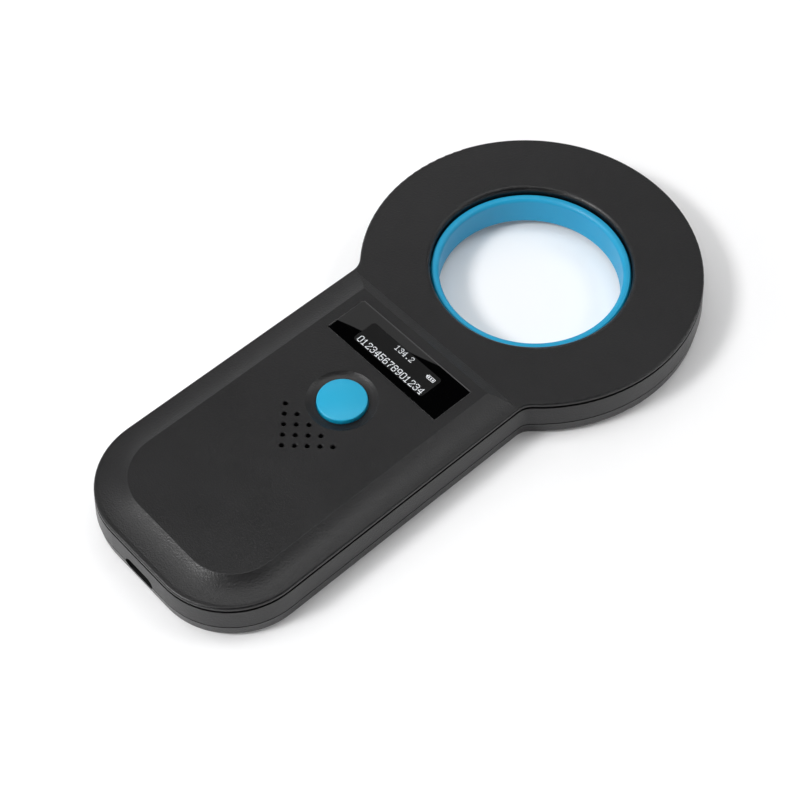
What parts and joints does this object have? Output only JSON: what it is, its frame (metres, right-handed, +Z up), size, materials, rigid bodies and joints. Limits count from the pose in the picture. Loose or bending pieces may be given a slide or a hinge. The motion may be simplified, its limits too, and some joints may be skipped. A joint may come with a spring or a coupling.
{
  "type": "microchip scanner",
  "caption": "Flat hand-held microchip reader: antenna ring with blue trim on a paddle handle with display window, domed push button, sounder grille and charging port.",
  "frame": {"origin": "middle of the footprint, on the surface that the reader lies on", "axes": "+Z up out of the control panel, +Y along the reader from handle to ring, +X across it"},
  "size_m": [0.0832, 0.1606, 0.0139],
  "materials": {
    "black_shell": "fine spark texture",
    "blue_trim": "satin",
    "blue_cap": "satin",
    "window_glass": "polished acrylic, dark tint",
    "oled_glass": "polished",
    "board_green": "solder mask",
    "buzzer_black": "moulded",
    "felt_black": "woven",
    "label_silver": "satin film",
    "foam_black": "foam",
    "white_plastic": "moulded",
    "flex_amber": "polyimide film",
    "switch_metal": "stamped",
    "port_steel": "drawn",
    "black_moulded": "moulded",
    "cell_foil": "pouch foil",
    "lead_red": "insulation",
    "copper_wire": "enamelled copper",
    "chip_black": "epoxy",
    "crystal_can": "satin can",
    "ferrite_grey": "ferrite",
    "ceramic_tan": "ceramic",
    "screw_black": "black zinc",
    "screw_steel": "plain"
  },
  "bodies": {
    "housing": {"top_cover": "black_shell", "bottom_cover": "black_shell", "bore_ring": "blue_trim", "display_window": "window_glass", "main_board": "board_green", "buzzer_body": "buzzer_black", "buzzer_mesh": "felt_black", "rating_label": "label_silver", "display_gasket": "foam_black", "oled_panel": "oled_glass", "display_carrier": "white_plastic", "oled_flex": "flex_amber", "switch_body": "switch_metal", "usb_shell": "port_steel", "usb_tongue": "black_moulded", "battery_cell": "cell_foil", "battery_pad": "foam_black", "battery_connector": "white_plastic", "battery_leads": "lead_red", "coil_former": "white_plastic", "antenna_coil": "copper_wire", "antenna_leads": "copper_wire", "reader_chip": "chip_black", "mcu_chip": "chip_black", "charger_chip": "chip_black", "crystal": "crystal_can", "power_inductor": "ferrite_grey", "chip_capacitors": "ceramic_tan", "housing_screws": "screw_black", "board_screws": "screw_steel"},
    "button": {"button_cap": "blue_cap"},
    "plunger": {"switch_plunger": "white_plastic"}
  },
  "joints": [
    {"name": "button_press", "type": "slide", "parent": "housing", "child": "button", "axis": [0, 0, -1], "range_m": [0, 0.0005], "stiffness_N_per_m": 400, "springref_m": -0.002},
    {"name": "plunger_press", "type": "slide", "parent": "housing", "child": "plunger", "axis": [0, 0, -1], "range_m": [0, 0.0005], "stiffness_N_per_m": 400, "springref_m": -0.002}
  ],
  "couplings": [
    {"joint": "plunger_press", "follows": "button_press", "ratio": 1}
  ]
}
